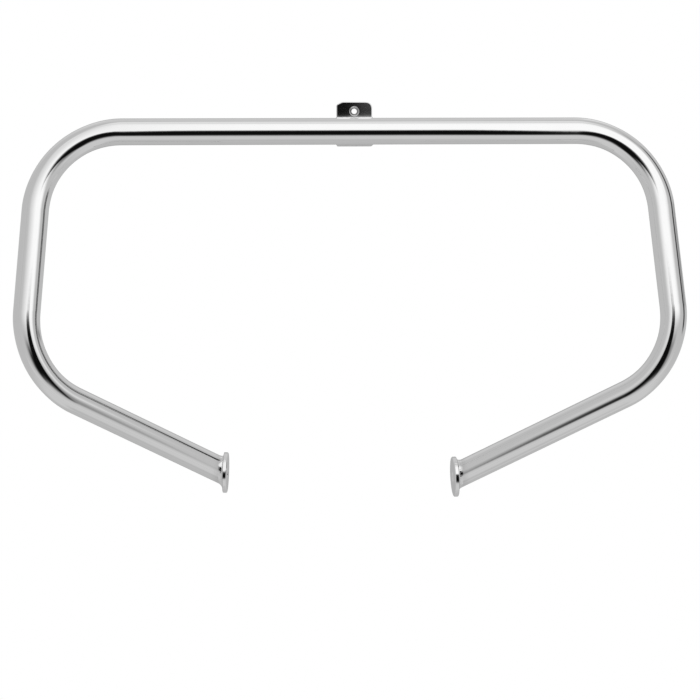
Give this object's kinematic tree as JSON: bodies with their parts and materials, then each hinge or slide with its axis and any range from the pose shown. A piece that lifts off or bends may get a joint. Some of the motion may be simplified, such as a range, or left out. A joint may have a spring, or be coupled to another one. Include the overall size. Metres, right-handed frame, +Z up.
{
  "type": "motorcycle crash bars",
  "caption": "Chromed steel tube bent round the front of a motorcycle, with a slanted disc foot welded to each end and a drilled bracket behind the top bar.",
  "frame": {"origin": "centre of the bracket's hole, halfway through the plate", "axes": "+X to the guard's right as seen from the front, along the top bar; +Y to the motorcycle's rear; +Z up"},
  "size_m": [0.799, 0.1629, 0.4831],
  "materials": {
    "chrome": "bright decorative chrome on polished steel"
  },
  "bodies": {
    "root": {"main_tube": "chrome", "left_foot": "chrome", "right_foot": "chrome", "left_foot_weld": "chrome", "right_foot_weld": "chrome", "centre_bracket": "chrome", "bracket_weld_upper": "chrome", "bracket_weld_lower": "chrome"}
  },
  "joints": []
}
